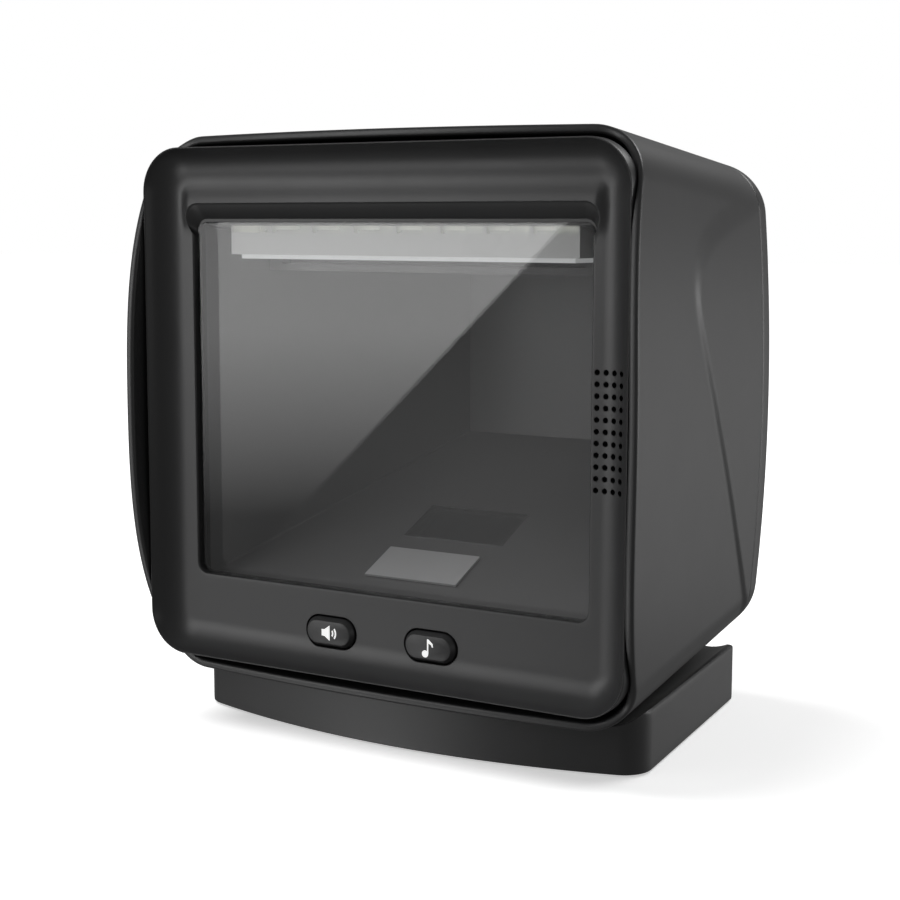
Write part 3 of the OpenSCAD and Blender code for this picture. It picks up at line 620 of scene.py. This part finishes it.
# cap profile from back to front: y, inset from the opening
CAP = ((-45.9, 0.55), (-47.5, 0.55), (-48.75, 0.55), (-48.95, 0.65), (-49.8, 1.25),
       (-49.97, 1.4), (-50.05, 1.6))


def make_button(name, x, body, node):
    rings = [at_y(stadium(BUTTON_HW - inset, BUTTON_HH - inset) + (x, 0), y, BUTTON_Z)
             for y, inset in CAP]
    cap = make_mesh(name, *loft(rings))
    finish_piece(cap, BUTTON, body, [node], 25)


# ---------------------------------------------------------------- base

def base_plan():
    """Plan of the base as X and Y points, counter-clockwise from the front's middle."""
    centre_y = BASE_FRONT_Y + BASE_FRONT_R
    front, rear = np.array([BASE_HW, BASE_HW_Y]), np.array([BASE_REAR_HW, BASE_REAR_Y])
    along = (rear - front) / np.linalg.norm(rear - front)
    inward = np.array([-along[1], along[0]])
    # the corner's centre is BASE_R inside the side line and inside the front arc
    lo, hi = -20.0, 60.0
    for _ in range(60):
        mid = (lo + hi) / 2
        c = front + inward * BASE_R + along * mid
        if math.hypot(c[0], c[1] - centre_y) > BASE_FRONT_R - BASE_R:
            lo = mid
        else:
            hi = mid
    c = front + inward * BASE_R + along * lo
    touch_side = c - inward * BASE_R
    out = np.array([c[0], c[1] - centre_y])
    out /= np.linalg.norm(out)
    start = math.atan2(out[1], out[0])
    end = math.atan2(-inward[1], -inward[0])
    right = []
    half = math.atan2(out[0], -out[1])
    for i in range(40):
        t = half * i / 40
        right.append((BASE_FRONT_R * math.sin(t), centre_y - BASE_FRONT_R * math.cos(t)))
    for i in range(17):
        t = start + (end - start) * i / 16
        right.append((c[0] + BASE_R * math.cos(t), c[1] + BASE_R * math.sin(t)))
    small_r = 1.5
    rear = rear + np.array([0.0, -small_r])
    for i in range(1, 40):
        right.append(tuple(touch_side + (rear - touch_side) * i / 40))
    for i in range(7):
        t = math.radians(15 * i)
        right.append((rear[0] - small_r + small_r * math.cos(t), rear[1] + small_r * math.sin(t)))
    for i in range(1, 12):
        right.append(((rear[0] - small_r) * (1 - i / 12), BASE_REAR_Y))
    right.append((0.0, BASE_REAR_Y))
    right = np.array(right)
    left = right[1:-1][::-1] * (-1, 1)
    return np.vstack([right, left])


def shrink(flat, inset):
    """Closed outline moved inwards along its normals."""
    ahead, behind = np.roll(flat, -1, 0), np.roll(flat, 1, 0)
    d = ahead - behind
    d /= np.linalg.norm(d, axis=1)[:, None]
    return flat + np.stack([-d[:, 1], d[:, 0]], 1) * inset


def at_z(flat, z):
    """Flat X and Y points lying at z."""
    out = np.empty((len(flat), 3))
    out[:, :2] = flat
    out[:, 2] = z
    return out


def make_base():
    plan = base_plan()
    bevel = 0.2
    rings = [at_z(shrink(plan, BASE_WALL), BASE_ROOF_Z), at_z(shrink(plan, BASE_WALL), BASE_BOTTOM_Z),
             at_z(shrink(plan, 0.25), BASE_BOTTOM_Z),
             at_z(shrink(plan, 0.05), BASE_BOTTOM_Z + bevel)]
    for i in range(1, 12):
        z = BASE_BOTTOM_Z + bevel + (BASE_TOP_Z - BASE_EDGE - BASE_BOTTOM_Z - bevel) * i / 12
        rings.append(at_z(plan, z))
    for i in range(7):
        a = math.radians(15 * i)
        rings.append(at_z(shrink(plan, BASE_EDGE * (1 - math.cos(a))),
                          BASE_TOP_Z - BASE_EDGE * (1 - math.sin(a))))
    base = make_mesh("base", *loft(rings))
    # room for the head's underside, which climbs a little towards the rear
    cradle, cradle_hh = [], 30
    for y in (-60, 60):
        cradle.append(at_y(outline(half_w(y) - CROWN + 0.5, cradle_hh, HEAD_R, 16, 6, 6), y,
                           CRADLE_Z + CRADLE_LIFT + CRADLE_SLOPE * y + cradle_hh))
    carve(base, make_mesh("cut_cradle", *loft(cradle)))
    carve(base, make_mesh("cut_neck", *box_mesh(*BASE_OPENING)))
    finish_piece(base, SHELL, "base", ["base_shell"], 30)


def make_pane():
    """Stepped pane: its front stands in the opening, its rim behind the seal."""
    front, edge = BORDER_Y + 1.5, 0.2
    rings = [window_ring(-PANE_GAP - edge, front), window_ring(-PANE_GAP, front + edge),
             window_ring(-PANE_GAP, PANE_STEP_Y), window_ring(PANE_RIM, PANE_STEP_Y),
             window_ring(PANE_RIM, PANE_BACK_Y)]
    pane = make_mesh("window_pane", *loft(rings))
    finish_piece(pane, WINDOW, "head", ["scan_window"], 30)


def make_chamber():
    """Light funnel of the CAD with a wider left mouth, a raised seam and a groove."""
    source = nodes["optical_chamber"]
    mesh = source.data.copy()
    mesh.transform(source.matrix_world)
    chamber = bpy.data.objects.new("chamber", mesh)
    bpy.context.scene.collection.objects.link(chamber)
    # inside of the funnel as X and Z corners, from the lower left round to the upper left
    mouth_y, back_y = PANE_BACK_Y, 41.0
    mouth = np.array([(-61.6, 41.2), (60.6, 41.2), (60.6, 140.4), (-61.6, 140.4)])
    back = np.array([(-24, 76), (24, 76), (24, 126), (-24, 126)])
    lower_left, upper_left = 0, 3

    def along_edge(corner, r):
        """Thin rod along one of the four edges of the funnel."""
        ends = []
        for flat, y in ((mouth, mouth_y + 0.3), (back, back_y - 0.3)):
            a = np.arange(12) * math.pi / 6
            ends.append(at_y(flat[corner] + r * np.stack([np.cos(a), np.sin(a)], 1), y))
        return loft(ends)

    carve(chamber, make_mesh("cut_mouth", *loft([at_y(mouth, mouth_y), at_y(back, back_y)])),
          make_mesh("cut_groove", *along_edge(upper_left, 0.8)))
    carve(chamber, make_mesh("seam", *along_edge(lower_left, 0.45)), operation="UNION")
    finish_piece(chamber, CHAMBER, "head", ["optical_chamber"], 20)


make_bezel()
make_housing()
make_rear_cover()
make_button("volume_cap", -BUTTON_X, "volume_button", "volume_button")
make_button("tone_cap", BUTTON_X, "tone_button", "tone_button")
make_base()
make_pane()
make_chamber()

# ---------------------------------------------------------------- CAD nodes that stay

LOOKS = (
    (ICON, ("volume_icon", "tone_icon")),
    (RUBBER, ("window_seal", "button_membrane", "rubber_feet")),
    (SMOKED, ("engine_window",)),
    (BOARD, ("button_board", "light_board", "engine_board", "main_board")),
    (INNER, ("button_switches", "light_bar_cover", "scan_engine", "main_board_chips",
             "data_port", "speaker_frame", "speaker_mesh", "speaker_cone", "neck_post",
             "base_plate")),
    (LABEL, ("label_plate",)),
    (DIFFUSER, ("light_diffuser",)),
    (WHITE, ("light_reflector",)),
    (LED, ("light_leds",)),
    (LENS, ("engine_lens",)),
    (STEEL, ("engine_bracket", "speaker_magnet", "tilt_bracket", "tilt_screws",
             "chamber_screws", "cover_screws", "board_screws", "ballast_plate",
             "base_screws", "neck_screws", "tilt_pin", "pin_clips")),
    (FLEX, ("engine_flex", "button_flex", "light_flex")),
    (LEAD, ("speaker_lead",)),
    (WASHER, ("friction_washers",)),
)
for material, names in LOOKS:
    for node_name in names:
        node_mesh = nodes[node_name].data
        node_mesh.materials.clear()
        node_mesh.materials.append(material)

# ---------------------------------------------------------------- floor, light, camera

floor_plan = np.array([(-1, -1), (1, -1), (1, 1), (-1, 1)], float) * FLOOR_REACH
floor = make_mesh("floor", *loft([at_z(floor_plan, z) for z in (-FLOOR_DEPTH, 0.0)]))
mat, tree, shader = new_material("floor_pale")
tree.links.new(mixed(tree, object_noise(tree, 3), (0.86, 0.86, 0.86), (0.88, 0.88, 0.88)),
               shader.inputs["Base Color"])
shader.inputs["Roughness"].default_value = 0.9
shader.inputs["Specular IOR Level"].default_value = 0.1
shader.inputs["Emission Color"].default_value = (1, 1, 1, 1)
shader.inputs["Emission Strength"].default_value = 0.48
floor.data.materials.append(mat)
floor.visible_glossy = False
floor.visible_diffuse = False
floor.visible_shadow = False

world = bpy.data.worlds.new("studio")
bpy.context.scene.world = world
world.use_nodes = True
# weak white fill on the object, full white where the camera looks past it
FILL, WHITE_SKY = 0.2, 1.0
sky = world.node_tree
sky.nodes.clear()
sky_out = sky.nodes.new("ShaderNodeOutputWorld")
sky_mix = sky.nodes.new("ShaderNodeMixShader")
sky_path = sky.nodes.new("ShaderNodeLightPath")
sky.links.new(sky_path.outputs["Is Camera Ray"], sky_mix.inputs["Fac"])
for socket, strength in ((1, FILL), (2, WHITE_SKY)):
    background = sky.nodes.new("ShaderNodeBackground")
    background.inputs["Color"].default_value = (1, 1, 1, 1)
    background.inputs["Strength"].default_value = strength
    sky.links.new(background.outputs[0], sky_mix.inputs[socket])
sky.links.new(sky_mix.outputs[0], sky_out.inputs[0])

# very wide sun for the soft shadow on the floor
sun = bpy.data.lights.new("floor_sun", "SUN")
sun.energy = 2.2
sun.angle = math.radians(40)
sun_object = bpy.data.objects.new("floor_sun", sun)
sun_object.matrix_world = Vector((-0.45, -0.16, 0.87)).to_track_quat("Z", "Y").to_matrix().to_4x4()
sun_object.visible_glossy = False
bpy.context.scene.collection.objects.link(sun_object)


def area_light(name, place, normal, along, size, radiance):
    """Flat square light of a given radiance; place in mm, facing normal, its X side along."""
    light = bpy.data.lights.new(name, "AREA")
    light.shape = "RECTANGLE"
    light.size, light.size_y = size * MM, size * MM
    light.energy = radiance * light.size * light.size_y * math.pi
    obj = bpy.data.objects.new(name, light)
    z = -Vector(normal).normalized()
    x = (Vector(along) - Vector(along).dot(z) * z).normalized()
    y = z.cross(x)
    obj.matrix_world = Matrix.Translation(Vector(place) * MM) @ Matrix((x, y, z)).transposed().to_4x4()
    bpy.context.scene.collection.objects.link(obj)


# soft lights round the object: direction in degrees from the front (negative is left),
# height angle, distance and size in mm, radiance
LIGHTS = (
    ("left_low", -56, -16, 1300, 500, 0.5),
    ("below", -34, -29, 1300, 480, 2.5),
    ("above", -32, 20, 1300, 560, 2.0),
    ("right", 80, 8, 1300, 500, 1.0),
    ("right_back", 128, 2, 1300, 500, 4.0),
    ("back_right", 153, -8, 1300, 500, 0.6),
    ("high_back", 150, 45, 1300, 600, 6.0),
)
for name, azimuth, height, far, size, radiance in LIGHTS:
    a, e = math.radians(azimuth), math.radians(height)
    way = Vector((math.sin(a) * math.cos(e), -math.cos(a) * math.cos(e), math.sin(e)))
    area_light(name, way * far + AIM, -way, (math.cos(a), math.sin(a), 0), size, radiance)


def light_card(name, glow_name, corners, strength):
    """Glowing card that only reflections show; strength(tree, place) is its glow."""
    sheet = make_mesh(name, corners, [(0, 1, 2, 3)])
    mat, tree, shader = new_material(glow_name)
    coord = tree.nodes.new("ShaderNodeTexCoord")
    shader.inputs["Base Color"].default_value = (0, 0, 0, 1)
    shader.inputs["Roughness"].default_value = 1.0
    shader.inputs["Emission Color"].default_value = (1, 1, 1, 1)
    tree.links.new(strength(tree, coord.outputs["Object"]), shader.inputs["Emission Strength"])
    sheet.data.materials.append(mat)
    sheet.visible_camera = False
    sheet.visible_shadow = False
    sheet.visible_diffuse = False
    return sheet


# card in front on the left: its straight edge is what the window mirrors
CARD_TOP = Vector((-506, -1160, 146))
CARD_LOW = Vector((-756, -961, -192))
CARD_WIDTH, CARD_PAST = 420, 150
# its glow at two heights, which are in metres
CARD_DIM, CARD_BRIGHT, CARD_DIM_Z, CARD_BRIGHT_Z = 0.4, 3.6, -0.14, 0.04
edge_way = (CARD_TOP - CARD_LOW).normalized()
facing = Vector((0, BORDER_Y, WIN_Z)) - (CARD_TOP + CARD_LOW) / 2
out_way = facing.cross(edge_way).normalized()
if out_way.z < 0:
    out_way = -out_way
top, low = CARD_TOP + edge_way * CARD_PAST, CARD_LOW - edge_way * CARD_PAST


def brighter_upwards(tree, place):
    """Glow of the mirrored card, from dim low down to bright at the top."""
    split = tree.nodes.new("ShaderNodeSeparateXYZ")
    tree.links.new(place, split.inputs[0])
    return spread(tree, split.outputs["Z"], CARD_DIM, CARD_BRIGHT, CARD_DIM_Z, CARD_BRIGHT_Z)


card = light_card("mirror_card", "card_glow",
                  [top, low, low + out_way * CARD_WIDTH, top + out_way * CARD_WIDTH],
                  brighter_upwards)

# wide soft card further away: an even veil over the window
VEIL_PLACE, VEIL_SIZE, VEIL_STRENGTH = Vector((-670, -1320, -170)), 560, 0.8
veil_z = (AIM - VEIL_PLACE).normalized()
veil_x = Vector((0, 0, 1)).cross(veil_z).normalized()
veil_y = veil_z.cross(veil_x)


def dimmer_outwards(tree, place):
    """Glow of the veil, which fades from its middle to its edges."""
    away = tree.nodes.new("ShaderNodeVectorMath")
    away.operation = "DISTANCE"
    away.inputs[1].default_value = VEIL_PLACE * MM
    tree.links.new(place, away.inputs[0])
    return spread(tree, away.outputs["Value"], VEIL_STRENGTH, 0.0, 0.05, VEIL_SIZE * MM)


veil = light_card("veil_card", "veil_glow",
                  [VEIL_PLACE + (veil_x * sx + veil_y * sy) * VEIL_SIZE
                   for sx, sy in ((-1, -1), (1, -1), (1, 1), (-1, 1))], dimmer_outwards)

# camera: place in mm, turn to the left, tilt downwards and roll in degrees
CAMERA_PLACE = Vector((239, -417, 139.7))
CAMERA_TURN, CAMERA_DOWN, CAMERA_ROLL = 30.55, 7.53, 0.15
camera = bpy.data.cameras.new("camera")
camera.lens = 67.3
camera.sensor_width = 36
camera.clip_start, camera.clip_end = 0.01, 50
camera_object = bpy.data.objects.new("camera", camera)
camera_object.matrix_world = (
    Matrix.Translation(CAMERA_PLACE * MM)
    @ Matrix.Rotation(math.radians(CAMERA_TURN), 4, "Z")
    @ Matrix.Rotation(math.radians(90 - CAMERA_DOWN), 4, "X")
    @ Matrix.Rotation(math.radians(CAMERA_ROLL), 4, "Z"))
bpy.context.scene.collection.objects.link(camera_object)
bpy.context.scene.camera = camera_object
bpy.context.scene.view_settings.view_transform = "Standard"
